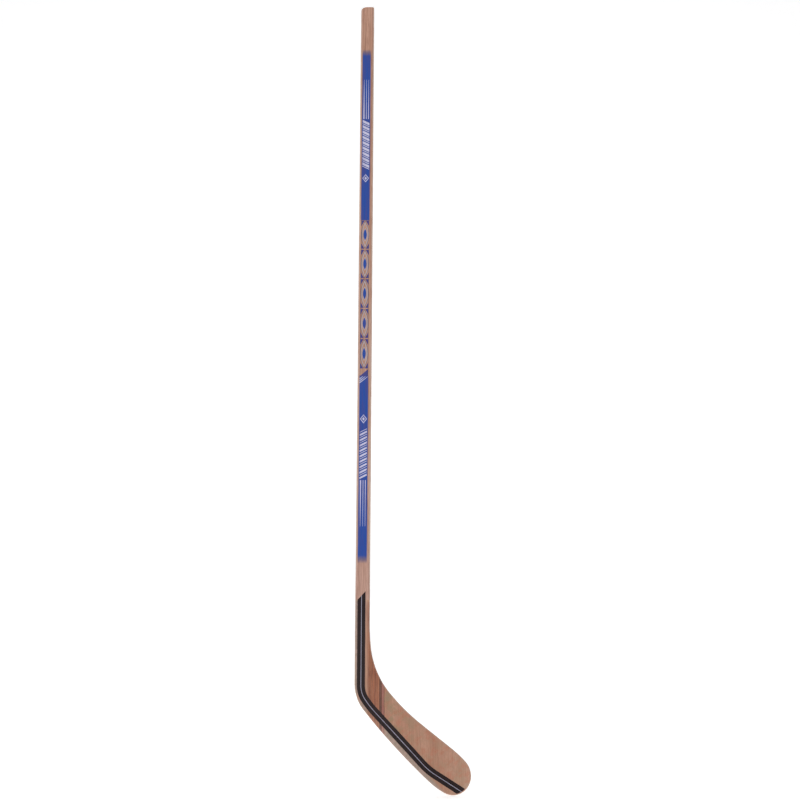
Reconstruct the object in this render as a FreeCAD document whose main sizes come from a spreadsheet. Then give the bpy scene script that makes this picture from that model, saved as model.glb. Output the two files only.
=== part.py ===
import FreeCAD, Part
import Sketcher
import math
import os

# Wooden ice hockey stick, glued up from plies, blocks and cloth and then shaped as one.
# The origin is on the shaft's centre line at the flat butt end. +Z runs up out of the butt.
# +X points from the heel towards the toe. The blade's hollow (forehand) face looks along -Y.
# Heights in the sheet are measured up from the heel point, where the shaft's centre line meets the sole.

doc = FreeCAD.newDocument("hockey_stick")
vec = FreeCAD.Vector

SIZES = [
    # shaft
    ("stick_length", 1524, "heel point to butt end, the senior length of 60 inches"),
    ("shaft_width", 29.5, "broad face"),
    ("shaft_thick", 20, "narrow face"),
    ("shaft_edge_radius", 4.5, "long edges of the shaft"),
    ("butt_radius", 18, "butt sloping away to the back"),
    ("butt_turn", 48, "degrees turned by that slope"),
    ("butt_nose", 3, "tight round where the slope meets the back"),
    ("core_thick", 9.6, "shaft core lamination"),
    ("inner_ply_thick", 2.6, "each inner ply"),
    ("round_top", 330, "height where the shaft's edge radius starts to shrink"),
    ("round_foot", 215, "height where it has shrunk to the blade's edge radius"),
    # taper from the shaft down to the heel
    ("taper_top", 200, "height where the shaft starts to thin, and the cloth ends"),
    ("taper_foot", 35, "height where it has thinned to the heel"),
    ("heel_thick", 9, "over the cloth, from heel to mid blade"),
    ("edge_radius", 2.5, "edges of the heel and blade"),
    # silhouette of heel, sole and toe
    ("heel_start", 36, "height where the back of the heel starts to round"),
    ("heel_radius", 78, "back of the heel"),
    ("heel_turn", 39.3, "degrees turned by the heel"),
    ("sole_radius", 1130, "rocker of the sole"),
    ("sole_turn", 9.38, "degrees turned by the rocker"),
    ("under_radius", 150, "sole running up into the toe"),
    ("under_turn", 13.7, "degrees"),
    ("toe_radius", 36.3, "round of the toe"),
    ("crown_radius", 206, "toe running back into the top edge"),
    # silhouette of the throat, from the front of the shaft to the blade's top edge
    ("throat_start", 157.6, "height where the front of the shaft starts to flare"),
    ("flare_radius", 467, "slow start of the flare"),
    ("flare_turn", 6.04, "degrees"),
    ("throat_radius", 167, "tight part of the throat"),
    ("throat_turn", 34.7, "degrees"),
    ("run_radius", 415, "throat running into the top edge"),
    ("run_turn", 12.1, "degrees"),
    # blade curve, seen along the rulings of the blade
    ("lie_turn", 45, "degrees from the level to the blade's long axis"),
    ("hook_start", 75, "distance along the blade from the heel point to the start of the curve"),
    ("hook_radius", 800, "hollow face"),
    ("hook_back_radius", 725, "full face, tighter so that the blade thins towards the toe"),
    # glue-up at the heel
    ("block_end", 35.7, "front of the heel block, from the shaft's centre line"),
    ("dark_end", 39.6, "front of the dark strip"),
    ("light_end", 44.5, "front of the light strip, where the blade wood starts"),
    ("tongue_thick", 4, "tongue of the blade core"),
    ("tongue_top", 10, "top of the tongue, above the heel point"),
    ("cloth_thick", 0.5, "fibreglass cloth in resin"),
    # printed transfers
    ("film_thick", 0.12, "every transfer"),
    ("print_width", 17.8, "blue transfer on the shaft"),
    ("print_shift", -1.2, "its centre line, off the shaft's centre line"),
    ("print_foot", 273, "lower end of the lower blue panel"),
    ("print_mid_foot", 662, "upper end of the lower blue panel"),
    ("print_mid_top", 1010, "lower end of the upper blue panel"),
    ("print_top", 1417, "upper end of the upper blue panel"),
    ("stripe_edge", -9.9, "back edge of the stripes on the shaft"),
    ("stripe_black", 7.4, "width of each black stripe"),
    ("stripe_grey", 1.2, "width of the grey line"),
    ("stripe_top", 200, "top of the stripes at their back edge"),
    ("stripe_slant", 1.05, "rise of their slanted tops for each mm across"),
    ("stripe_start", 33, "height where the stripes start round the heel"),
    ("stripe_heel_radius", 55, "back edge of the stripes round the heel"),
    ("stripe_heel_turn", 35, "degrees"),
    ("stripe_ease_radius", 200, "easing from the heel into the straight run"),
    ("stripe_ease_turn", 9, "degrees"),
    ("stripe_run", 134.5, "straight run along the blade"),
    ("stripe_bend_radius", 130, "bend away from the sole near the toe"),
    ("stripe_bend_turn", 15.5, "degrees"),
    ("stripe_tail", 70, "straight end, long enough to pass the toe"),
]

sheet = doc.addObject("Spreadsheet::Sheet", "Sizes")
for row, (alias, value, note) in enumerate(SIZES, start=1):
    sheet.set(f"A{row}", alias)
    sheet.set(f"B{row}", str(value))
    sheet.set(f"C{row}", note)
    sheet.setAlias(f"B{row}", alias)
doc.recompute()


def size(alias):
    return float(sheet.get(alias))


HALF = "Sizes.shaft_width / 2"

# extents of the cutting shapes, which only have to clear the stick, and small allowances
WIDE = 60.0
BELOW = 260.0
BLADE_REACH = 300.0
RULING = 400.0
OVERLAP = 1.0
SAME_PLACE = 1e-5
FLAT = 0.01


def origin_plane(body, role):
    return next(f for f in body.Origin.OriginFeatures if f.Role == role)


def value_of(expression):
    """The number that an expression on the sheet stands for."""
    return float(sheet.evalExpression(expression))


def new_body(label, turn=0.0):
    """A body whose own origin is the heel point. A turn tips it about Y, heel over toe, in degrees."""
    body = doc.addObject("PartDesign::Body", label)
    body.Placement = FreeCAD.Placement(vec(0, 0, -size("stick_length")), FreeCAD.Rotation(vec(0, 1, 0), turn))
    body.setExpression("Placement.Base.z", "-Sizes.stick_length")
    return body


def new_sketch(body, name, role):
    sketch = body.newObject("Sketcher::SketchObject", name)
    sketch.AttachmentSupport = [(origin_plane(body, role), "")]
    sketch.MapMode = "FlatFace"
    return sketch


class Walk:
    """A walk of tangent lines and arcs. Each is kept with its dimensions, as pairs of kind and expression."""

    def __init__(self, x, y, heading):
        self.here = vec(x, y, 0)
        self.heading = math.radians(heading)
        self.edges = []

    def ahead(self, angle, length):
        return self.here + vec(math.cos(angle), math.sin(angle), 0) * length

    def line(self, length):
        """length is an expression, or a number if other dimensions settle it."""
        bound = isinstance(length, str)
        there = self.ahead(self.heading, value_of(length) if bound else length)
        self.edges.append((Part.LineSegment(self.here, there), [("Distance", length)] if bound else []))
        self.here = there

    def arc(self, radius, turn):
        """A positive turn goes left, in degrees. turn is an expression, or a number if others settle it."""
        bound = isinstance(turn, str)
        degrees = value_of(turn) if bound else turn
        side = 1 if degrees > 0 else -1
        centre = self.ahead(self.heading + side * math.pi / 2, value_of(radius))
        out = self.here - centre
        spots = []
        for share in (0.5, 1.0):
            swing = FreeCAD.Rotation(vec(0, 0, 1), degrees * share)
            spots.append(centre + swing.multVec(out))
        dimensions = [("Radius", radius)] + ([("Angle", turn)] if bound else [])
        self.edges.append((Part.Arc(self.here, spots[0], spots[1]), dimensions))
        self.here = spots[1]
        self.heading += math.radians(degrees)


def plain(*points):
    """An edge with no dimension of its own: a line through two points or an arc through three."""
    return (Part.Arc(*points) if len(points) == 3 else Part.LineSegment(*points)), []


def touching(sketch, first, second):
    for one in (1, 2):
        for other in (1, 2):
            if sketch.getPoint(first, one).distanceToPoint(sketch.getPoint(second, other)) < SAME_PLACE:
                return one, other
    raise ValueError(f"{sketch.Name}: edges {first} and {second} don't touch")


def rule(sketch, expression, kind, *places):
    """Adds a dimension and binds it to the sheet. Turns are in degrees there."""
    value = value_of(expression)
    if kind == "Angle":
        value = math.radians(value)
        expression = f"({expression}) * 1 deg"
    number = sketch.addConstraint(Sketcher.Constraint(kind, *places, value))
    sketch.setExpression(f"Constraints[{number}]", expression)


def align(sketch, kind, *edges):
    for edge in edges:
        sketch.addConstraint(Sketcher.Constraint(kind, edge))


def draw(sketch, edges, corners):
    """Closes the edges into one outline. Joints named in corners are sharp, all others are tangent."""
    for geometry, _ in edges:
        sketch.addGeometry(geometry, False)
    count = len(edges)
    for n in range(count):
        after = (n + 1) % count
        one, other = touching(sketch, n, after)
        kind = "Coincident" if n in corners else "Tangent"
        sketch.addConstraint(Sketcher.Constraint(kind, n, one, after, other))
    for n, (_, dimensions) in enumerate(edges):
        for kind, expression in dimensions:
            rule(sketch, expression, kind, n)


def settled(sketch):
    """Stops the macro if a sketch can't meet its dimensions, or if they leave it loose."""
    if sketch.solve() != 0 or not sketch.FullyConstrained:
        raise RuntimeError(f"{sketch.Name} isn't settled by its dimensions")


def pad(body, sketch, both_ways):
    feature = body.newObject("PartDesign::Pad", f"{body.Name}_pad")
    feature.Profile = sketch
    feature.SideType = "Symmetric"
    feature.Length = both_ways
    return feature


def silhouette(label, inset):
    """The whole stick seen on its broad face, padded through and shrunk evenly by inset."""
    body = new_body(label)
    sketch = new_sketch(body, f"{label}_sketch", "XZ_Plane")
    half = f"({HALF} - {inset})"
    top = f"(Sizes.stick_length - {inset})"

    slope = f"(Sizes.butt_radius - {inset})"
    nose = f"(Sizes.butt_nose - {inset})"
    reach = math.sin(math.radians(size("butt_turn")))
    butt = Walk(value_of(half), value_of(top), 180)
    butt.line(2 * value_of(half) - value_of(slope) * reach - value_of(nose) * (1 - reach))
    butt.arc(slope, "Sizes.butt_turn")
    butt.arc(nose, "90 - Sizes.butt_turn")

    sole = Walk(butt.here.x, butt.here.y, -90)
    sole.line(butt.here.y - size("heel_start"))
    sole.arc(f"Sizes.heel_radius - {inset}", "Sizes.heel_turn")
    sole.arc(f"Sizes.sole_radius - {inset}", "Sizes.sole_turn")
    sole.arc(f"Sizes.under_radius - {inset}", "Sizes.under_turn")

    throat = Walk(value_of(half), value_of(top), -90)
    throat.line(value_of(top) - size("throat_start"))
    throat.arc(f"Sizes.flare_radius + {inset}", "Sizes.flare_turn")
    throat.arc(f"Sizes.throat_radius + {inset}", "Sizes.throat_turn")
    throat.arc(f"Sizes.run_radius + {inset}", "Sizes.run_turn")

    # the crown arc touches the straight top edge and, further round, the toe arc
    toe_radius, crown_radius = f"Sizes.toe_radius - {inset}", f"Sizes.crown_radius - {inset}"
    toe, crown = value_of(toe_radius), value_of(crown_radius)
    centre = sole.ahead(sole.heading + math.pi / 2, toe)
    along = vec(math.cos(throat.heading), math.sin(throat.heading), 0)
    across = vec(along.y, -along.x, 0)
    offset = centre - throat.here
    gap = offset.dot(across)
    back = math.sqrt((crown - toe) ** 2 - (crown - gap) ** 2)
    throat.line(offset.dot(along) - back)
    meet = centre - throat.here - across * crown
    sole.arc(toe_radius, math.degrees(math.atan2(meet.y, meet.x) + math.pi / 2 - sole.heading))
    sole.arc(crown_radius, 180 + math.degrees(throat.heading - sole.heading))

    edges = sole.edges + throat.edges[::-1] + butt.edges
    front = len(sole.edges) + len(throat.edges) - 1
    draw(sketch, edges, {front})
    low_end, high_end = touching(sketch, front, front - 1)[0], touching(sketch, front, front + 1)[0]
    align(sketch, "Vertical", 0, front)
    rule(sketch, half, "DistanceX", 0, 1, -1, 1)
    rule(sketch, half, "DistanceX", -1, 1, front, high_end)
    rule(sketch, "Sizes.heel_start", "DistanceY", -1, 1, 0, 2)
    rule(sketch, "Sizes.throat_start", "DistanceY", -1, 1, front, low_end)
    rule(sketch, top, "DistanceY", -1, 1, front, high_end)
    settled(sketch)
    pad(body, sketch, 4 * WIDE)
    return body


def half_slab(grow):
    return f"(Sizes.shaft_thick / 2 + {grow})", f"(Sizes.heel_thick / 2 + {grow})"


def side_slab(label, grow):
    """Shaft, taper and heel seen on the narrow face, padded across. grow thickens each face evenly."""
    body = new_body(label)
    sketch = new_sketch(body, f"{label}_sketch", "YZ_Plane")
    shaft, heel = half_slab(grow)
    high, low = size("taper_top"), size("taper_foot")
    thick, thin = value_of(shaft), value_of(heel)
    run, drop = high - low, thick - thin
    swing = 2 * math.atan2(drop, run)
    bow = (run**2 + drop**2) / (4 * drop) * (1 - math.cos(swing / 2))
    top, foot = size("stick_length") + WIDE, -BELOW

    def face(side):
        """Straight shaft, two equal arcs that ease over to the heel, and the straight heel."""
        head, knee = vec(side * thick, high, 0), vec(side * thin, low, 0)
        middle = (head + knee) * 0.5
        edges = [plain(vec(side * thick, top, 0), head)]
        for start, end, way in ((head, middle, 1), (middle, knee, -1)):
            chord = end - start
            out = vec(-chord.y, chord.x, 0).normalize() * way * side
            edges.append(plain(start, (start + end) * 0.5 + out * bow, end))
        return edges + [plain(knee, vec(side * thin, foot, 0))]

    front, back = face(-1), face(1)
    low_edge = plain(vec(-thin, foot, 0), vec(thin, foot, 0))
    top_edge = plain(vec(thick, top, 0), vec(-thick, top, 0))
    draw(sketch, front + [low_edge] + back[::-1] + [top_edge], {3, 4, 8, 9})
    align(sketch, "Vertical", 0, 3, 5, 8)
    align(sketch, "Horizontal", 4, 9)
    for first, second in ((1, 2), (6, 7)):
        sketch.addConstraint(Sketcher.Constraint("Equal", first, second))
    rule(sketch, f"Sizes.stick_length + {WIDE}", "DistanceY", -1, 1, 0, 1)
    rule(sketch, f"{BELOW}", "DistanceY", 3, 2, -1, 1)
    rule(sketch, shaft, "DistanceX", 0, 2, -1, 1)
    rule(sketch, shaft, "DistanceX", -1, 1, 8, 1)
    rule(sketch, heel, "DistanceX", 3, 1, -1, 1)
    rule(sketch, heel, "DistanceX", -1, 1, 5, 2)
    rule(sketch, "Sizes.taper_top", "DistanceY", -1, 1, 0, 2)
    rule(sketch, "Sizes.taper_top", "DistanceY", -1, 1, 8, 2)
    rule(sketch, "Sizes.taper_foot", "DistanceY", -1, 1, 3, 1)
    rule(sketch, "Sizes.taper_foot", "DistanceY", -1, 1, 5, 1)
    settled(sketch)
    feature = body.newObject("PartDesign::Pad", f"{label}_pad")
    feature.Profile = sketch
    feature.SideType = "Two sides"
    feature.setExpression("Length", "Sizes.light_end")
    feature.Length2 = WIDE
    return body


def blade_slab(label, grow):
    """The curved blade seen along its rulings, padded along them. Both faces start square to the heel."""
    body = new_body(label, size("lie_turn"))
    body.setExpression("Placement.Rotation.Angle", "Sizes.lie_turn")
    sketch = new_sketch(body, f"{label}_sketch", "XY_Plane")
    half = half_slab(grow)[1]
    start = value_of("Sizes.hook_start")
    edges = []
    for side, radius in ((-1, f"Sizes.hook_radius - {grow}"), (1, f"Sizes.hook_back_radius + {grow}")):
        reach = value_of(radius)
        y = side * value_of(half)
        spots = []
        for share in (0, 0.5, 1):
            u = (BLADE_REACH - start) * share
            spots.append(vec(start + u, y - reach + math.sqrt(reach**2 - u**2), 0))
        edges += [plain(vec(-WIDE, y, 0), spots[0]), (Part.Arc(*spots), [("Radius", radius)])]
    root = plain(vec(-WIDE, -value_of(half), 0), vec(-WIDE, value_of(half), 0))
    tip = plain(edges[1][0].EndPoint, edges[3][0].EndPoint)
    draw(sketch, [edges[0], edges[1], tip, edges[3], edges[2], root], {1, 2, 4, 5})
    align(sketch, "Horizontal", 0, 4)
    align(sketch, "Vertical", 2, 5)
    rule(sketch, half, "DistanceY", 0, 1, -1, 1)
    rule(sketch, half, "DistanceY", -1, 1, 4, 1)
    rule(sketch, "Sizes.hook_start", "DistanceX", -1, 1, 0, 2)
    rule(sketch, "Sizes.hook_start", "DistanceX", -1, 1, 4, 2)
    rule(sketch, f"{WIDE}", "DistanceX", 0, 1, -1, 1)
    rule(sketch, f"{BLADE_REACH}", "DistanceX", -1, 1, 2, 1)
    settled(sketch)
    pad(body, sketch, RULING)
    return body


def fuse(label, *parts):
    feature = doc.addObject("Part::MultiFuse", label)
    feature.Shapes = list(parts)
    feature.Refine = True
    return feature


def common(label, base, tool):
    feature = doc.addObject("Part::Common", label)
    feature.Base = base
    feature.Tool = tool
    return feature


def cut(label, base, tool):
    feature = doc.addObject("Part::Cut", label)
    feature.Base = base
    feature.Tool = tool
    return feature


def region(label, x, y, z):
    """A box between pairs of expressions. x and y start at the shaft's centre line, z at the heel point."""
    box = doc.addObject("Part::Box", label)
    for name, axis, (low, high) in (("Length", "x", x), ("Width", "y", y), ("Height", "z", z)):
        shift = " - Sizes.stick_length" if axis == "z" else ""
        box.setExpression(name, f"({high}) - ({low})")
        box.setExpression(f"Placement.Base.{axis}", f"{low}{shift}")
    return box


ALL_X = (f"{-WIDE}", f"{BLADE_REACH}")
ALL_Y = (f"{-2 * WIDE}", f"{2 * WIDE}")
ALL_Z = (f"{-BELOW}", f"Sizes.stick_length + {WIDE}")
FRONT = (f"{-2 * WIDE}", "0")


def slab(name, grow):
    """Everything between the two broad faces, from butt to toe."""
    return fuse(name, side_slab(f"{name}_side", grow), blade_slab(f"{name}_blade", grow))


# --- the form that the glued-up stick is shaped to ---
outline = silhouette("outline", "0")
faces = slab("faces", "0")
doc.recompute()
flat_form = common("flat_form", outline, faces)
below_round = region("below_round", ALL_X, ALL_Y, (f"{-BELOW}", "Sizes.round_foot"))
lower_form = common("lower_form", flat_form, below_round)
doc.recompute()


def long_edges(shape, cut_height):
    """Numbers of the edges round the broad faces: neither square across the thickness nor in the cut end."""
    found = []
    for number, edge in enumerate(shape.Edges, start=1):
        box = edge.BoundBox
        across = box.XLength < FLAT and box.ZLength < FLAT
        in_cut = box.ZMin > cut_height - FLAT
        if not across and not in_cut:
            found.append(number)
    return found


rounded = doc.addObject("Part::Fillet", "rounded_lower_form")
rounded.Base = lower_form
numbers = long_edges(lower_form.Shape, value_of("Sizes.round_foot - Sizes.stick_length"))
rounded.Edges = [(n, size("edge_radius"), size("edge_radius")) for n in numbers]
doc.recompute()


def rounded_section(body, name, height, radius):
    """A cross section of the shaft with rounded corners, at a height above the heel point."""
    sketch = new_sketch(body, name, "XY_Plane")
    sketch.setExpression("AttachmentOffset.Base.z", height)
    half_x, half_y, r = value_of(HALF), value_of("Sizes.shaft_thick / 2"), value_of(radius)
    walk = Walk(-half_x + r, -half_y, 0)
    for length in (2 * half_x - 2 * r, 2 * half_y - 2 * r) * 2:
        walk.line(length)
        walk.arc(radius, 90)
    draw(sketch, walk.edges, set())
    align(sketch, "Horizontal", 0, 4)
    align(sketch, "Vertical", 2, 6)
    rule(sketch, "Sizes.shaft_thick / 2", "DistanceY", 0, 1, -1, 1)
    rule(sketch, "Sizes.shaft_thick / 2", "DistanceY", -1, 1, 4, 1)
    rule(sketch, HALF, "DistanceX", -1, 1, 2, 1)
    rule(sketch, HALF, "DistanceX", 6, 1, -1, 1)
    settled(sketch)
    return sketch


upper = new_body("upper_form")
full_section = rounded_section(upper, "full_section", "Sizes.round_top", "Sizes.shaft_edge_radius")
upper_pad = upper.newObject("PartDesign::Pad", "upper_pad")
upper_pad.Profile = full_section
upper_pad.setExpression("Length", "Sizes.stick_length - Sizes.round_top")
foot_section = rounded_section(upper, "foot_section", "Sizes.round_foot", "Sizes.edge_radius")
head_section = rounded_section(upper, "head_section", "Sizes.round_top", "Sizes.shaft_edge_radius")
doc.recompute()
upper_loft = upper.newObject("PartDesign::AdditiveLoft", "upper_loft")
upper_loft.Profile = foot_section
upper_loft.Sections = [head_section]
doc.recompute()
upper_form = common("upper_shaped", upper, outline)
form = fuse("form", upper_form, rounded)
doc.recompute()

# --- the two sides of the stick, parted at the middle of its thickness ---
SIDES = ("front", "back")


def blade_front_zone():
    """All that lies in front of the middle of the curved blade, padded along its rulings."""
    body = new_body("blade_front", size("lie_turn"))
    body.setExpression("Placement.Rotation.Angle", "Sizes.lie_turn")
    sketch = new_sketch(body, "blade_front_sketch", "XY_Plane")
    middle = "(Sizes.hook_radius + Sizes.hook_back_radius) / 2"
    start, reach = size("hook_start"), value_of(middle)
    curve = []
    for share in (0, 0.5, 1):
        u = (BLADE_REACH - start) * share
        curve.append(vec(start + u, math.sqrt(reach**2 - u**2) - reach, 0))
    near, far = vec(-WIDE, -BELOW, 0), vec(BLADE_REACH, -BELOW, 0)
    flat_end = vec(-WIDE, 0, 0)
    edges = [
        plain(flat_end, curve[0]),
        (Part.Arc(*curve), [("Radius", middle)]),
        plain(curve[2], far),
        plain(far, near),
        plain(near, flat_end),
    ]
    draw(sketch, edges, {1, 2, 3, 4})
    align(sketch, "Horizontal", 0, 3)
    align(sketch, "Vertical", 2, 4)
    sketch.addConstraint(Sketcher.Constraint("PointOnObject", 0, 2, -1))
    rule(sketch, "Sizes.hook_start", "DistanceX", -1, 1, 0, 2)
    rule(sketch, f"{WIDE}", "DistanceX", 0, 1, -1, 1)
    rule(sketch, f"{BLADE_REACH}", "DistanceX", -1, 1, 2, 1)
    rule(sketch, f"{BELOW}", "DistanceY", 3, 1, -1, 1)
    settled(sketch)
    pad(body, sketch, RULING)
    return body


shaft_front = region("shaft_front", (ALL_X[0], "Sizes.light_end"), FRONT, ALL_Z)
front_zone = fuse("front_zone", shaft_front, blade_front_zone())


def one_side(label, base, side):
    part = common if side == "front" else cut
    return part(label, base, front_zone)


# --- what is wood and what is cloth ---
wood_faces = slab("wood_faces", "-Sizes.cloth_thick")
bare_shaft = region("bare_shaft", ALL_X, ALL_Y, ("Sizes.taper_top", ALL_Z[1]))
wood_zone = fuse("wood_zone", wood_faces, bare_shaft)
wood = common("wood", form, wood_zone)
cloth = cut("cloth", form, wood_zone)

# --- zones of the glue-up ---
SHAFT_FRONT = HALF
COLUMN_X = (f"{-WIDE}", SHAFT_FRONT)
CORE = "Sizes.core_thick / 2"
PLY = f"({CORE} + Sizes.inner_ply_thick)"
tongue = region(
    "tongue",
    (f"{-WIDE}", f"Sizes.light_end + {OVERLAP}"),
    ("-Sizes.tongue_thick / 2", "Sizes.tongue_thick / 2"),
    (f"{-BELOW}", "Sizes.tongue_top"),
)
blade_side = region("blade_side", ("Sizes.light_end", ALL_X[1]), ALL_Y, ALL_Z)
blade_zone = fuse("blade_zone", blade_side, tongue)

nodes = []


def add_node(feature, label):
    feature.Label = label
    nodes.append(feature)


def slotted(label, x, y):
    """A piece of the wood between pairs of expressions, with the slot for the blade's tongue cut out."""
    zone = region(f"{label}_zone", x, y, ALL_Z)
    solid = common(f"{label}_blank", wood, zone)
    add_node(cut(f"{label}_piece", solid, tongue), label)


def shaft_ply(label, low, high):
    zone = region(f"{label}_zone", COLUMN_X, (low, high), ALL_Z)
    add_node(common(f"{label}_piece", wood, zone), label)


slotted("shaft_core", COLUMN_X, (f"-{CORE}", CORE))
shaft_ply("shaft_inner_ply_front", f"-{PLY}", f"-{CORE}")
shaft_ply("shaft_inner_ply_back", CORE, PLY)
shaft_ply("shaft_outer_ply_front", FRONT[0], f"-{PLY}")
shaft_ply("shaft_outer_ply_back", PLY, ALL_Y[1])
slotted("heel_block", (SHAFT_FRONT, "Sizes.block_end"), ALL_Y)
slotted("heel_strip_dark", ("Sizes.block_end", "Sizes.dark_end"), ALL_Y)
slotted("heel_strip_light", ("Sizes.dark_end", "Sizes.light_end"), ALL_Y)
add_node(common("blade_core_piece", wood, blade_zone), "blade_core")
for side in SIDES:
    add_node(one_side(f"cloth_{side}_piece", cloth, side), f"blade_cloth_{side}")

# --- printed transfers on both broad faces ---
film_faces = slab("film_faces", "Sizes.film_thick")
film_layer = cut("film_layer", film_faces, faces)
film_edge = silhouette("film_edge", "Sizes.edge_radius")
film_field = common("film_field", film_layer, film_edge)


def stripe(label, low, high):
    """A band round the heel between two distances in from the back edge of the stripes."""
    body = new_body(label)
    sketch = new_sketch(body, f"{label}_sketch", "XZ_Plane")
    walks = []
    for inset in (low, high):
        x = f"(Sizes.stripe_edge + {inset})"
        top = f"(Sizes.stripe_top + Sizes.stripe_slant * {inset})"
        walk = Walk(value_of(x), value_of(top), -90)
        walk.line(value_of(f"{top} - Sizes.stripe_start"))
        walk.arc(f"Sizes.stripe_heel_radius - {inset}", "Sizes.stripe_heel_turn")
        walk.arc(f"Sizes.stripe_ease_radius - {inset}", "Sizes.stripe_ease_turn")
        walk.line("Sizes.stripe_run")
        walk.arc(f"Sizes.stripe_bend_radius - {inset}", "Sizes.stripe_bend_turn")
        walk.line("Sizes.stripe_tail")
        walks.append(walk)
    outer, inner = walks
    tip = plain(outer.here, inner.here)
    top_edge = plain(inner.edges[0][0].StartPoint, outer.edges[0][0].StartPoint)
    edges = outer.edges + [tip] + inner.edges[::-1] + [top_edge]
    outer_line, inner_line = 0, len(edges) - 2
    draw(sketch, edges, {len(outer.edges) - 1, len(outer.edges), inner_line, len(edges) - 1})
    align(sketch, "Vertical", outer_line, inner_line)
    for line, inset in ((outer_line, low), (inner_line, high)):
        rule(sketch, f"Sizes.stripe_top + Sizes.stripe_slant * {inset}", "DistanceY", -1, 1, line, 1)
        rule(sketch, "Sizes.stripe_start", "DistanceY", -1, 1, line, 2)
        rule(sketch, f"-(Sizes.stripe_edge + {inset})", "DistanceX", line, 1, -1, 1)
    settled(sketch)
    pad(body, sketch, 4 * WIDE)
    return body


GREY_AT = "Sizes.stripe_black"
SECOND_AT = f"({GREY_AT} + Sizes.stripe_grey)"
LAST_AT = f"({SECOND_AT} + Sizes.stripe_black)"
outer_stripe = stripe("stripe_outer", "0", GREY_AT)
inner_stripe = stripe("stripe_inner", SECOND_AT, LAST_AT)
black_pair = fuse("black_pair", outer_stripe, inner_stripe)
grey_line = stripe("stripe_middle", GREY_AT, SECOND_AT)
for side in SIDES:
    layer = one_side(f"film_field_{side}", film_field, side)
    for name, band in (("stripes_black", black_pair), ("stripe_grey", grey_line)):
        add_node(common(f"{name}_{side}_piece", layer, band), f"{name}_{side}")

PRINT_X = tuple(f"Sizes.print_shift {sign} Sizes.print_width / 2" for sign in "-+")
PANELS = (
    ("lower", "Sizes.print_foot", "Sizes.print_mid_foot"),
    ("upper", "Sizes.print_mid_top", "Sizes.print_top"),
)
FACE = "Sizes.shaft_thick / 2"
FILM = f"({FACE} + Sizes.film_thick)"
for side, depth in (("front", (f"-{FILM}", f"-{FACE}")), ("back", (FACE, FILM))):
    panels = [region(f"print_{side}_{name}", PRINT_X, depth, (foot, top)) for name, foot, top in PANELS]
    add_node(fuse(f"print_{side}_piece", *panels), f"shaft_print_{side}")

doc.recompute()

for thing in doc.Objects:
    if "Invalid" in thing.State or "Error" in thing.State:
        raise RuntimeError(f"{thing.Label} failed: {thing.State}")
os.makedirs("parts", exist_ok=True)
for node in nodes:
    if node.Shape.isNull() or not node.Shape.isValid() or not node.Shape.Solids:
        raise RuntimeError(f"{node.Label} has no valid shape")
    node.Shape.exportStep(f"parts/{node.Label}.step")
    print(f"{node.Label:24} solids {len(node.Shape.Solids)}  volume {node.Shape.Volume / 1000:9.2f} cm3")
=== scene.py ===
import math

import bmesh
import bpy
from mathutils import Matrix, Vector


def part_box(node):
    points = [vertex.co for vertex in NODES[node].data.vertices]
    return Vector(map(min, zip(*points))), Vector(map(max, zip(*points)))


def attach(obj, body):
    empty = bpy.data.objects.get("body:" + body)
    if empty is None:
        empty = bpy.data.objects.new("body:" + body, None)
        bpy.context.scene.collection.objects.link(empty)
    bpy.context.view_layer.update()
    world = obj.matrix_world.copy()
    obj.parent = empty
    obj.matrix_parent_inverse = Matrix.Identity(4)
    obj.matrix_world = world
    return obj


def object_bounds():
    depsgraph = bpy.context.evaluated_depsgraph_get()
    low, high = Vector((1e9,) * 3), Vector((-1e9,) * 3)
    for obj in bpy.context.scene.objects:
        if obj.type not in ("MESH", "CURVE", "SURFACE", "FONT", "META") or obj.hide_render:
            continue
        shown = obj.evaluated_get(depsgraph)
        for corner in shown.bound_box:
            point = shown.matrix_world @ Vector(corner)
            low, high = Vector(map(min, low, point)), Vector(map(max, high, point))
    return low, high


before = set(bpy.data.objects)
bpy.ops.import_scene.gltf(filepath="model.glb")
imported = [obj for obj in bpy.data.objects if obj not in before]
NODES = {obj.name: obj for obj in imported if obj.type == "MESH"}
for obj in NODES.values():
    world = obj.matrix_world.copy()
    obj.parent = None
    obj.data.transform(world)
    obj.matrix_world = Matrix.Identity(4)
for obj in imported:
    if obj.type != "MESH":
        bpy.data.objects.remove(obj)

# Looks of the wooden ice hockey stick. Everything is in metres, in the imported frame:
# the butt end is at the origin, the shaft hangs along -Z, the toe points along +X and -Y is the hollow face.

CAD_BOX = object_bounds()
HEEL_Z = -1.524

CORE_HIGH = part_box("shaft_core")[1]
BLOCK_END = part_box("heel_block")[1].x
DARK_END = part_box("heel_strip_dark")[1].x
LIGHT_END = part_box("heel_strip_light")[1].x
CLOTH_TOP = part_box("blade_cloth_front")[1].z
TOE_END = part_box("blade_core")[1].x
PRINT_LOW, PRINT_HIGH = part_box("shaft_print_front")
PRINT_MIDDLE = (PRINT_LOW.x + PRINT_HIGH.x) / 2
PRINT_HALF = (PRINT_HIGH.x - PRINT_LOW.x) / 2
PRINT_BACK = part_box("shaft_print_back")[1].y
FACE_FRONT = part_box("shaft_outer_ply_front")[0].y
FACE_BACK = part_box("shaft_outer_ply_back")[1].y
HALF_WIDTH = CORE_HIGH.x


def panel_ends():
    """Heights of the blue panels' four ends, from the lowest to the highest."""
    print_node = NODES["shaft_print_front"]
    return sorted({round((print_node.matrix_world @ v.co).z, 4) for v in print_node.data.vertices})


LOWER_FOOT, LOWER_TOP, UPPER_FOOT, UPPER_TOP = panel_ends()


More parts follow.
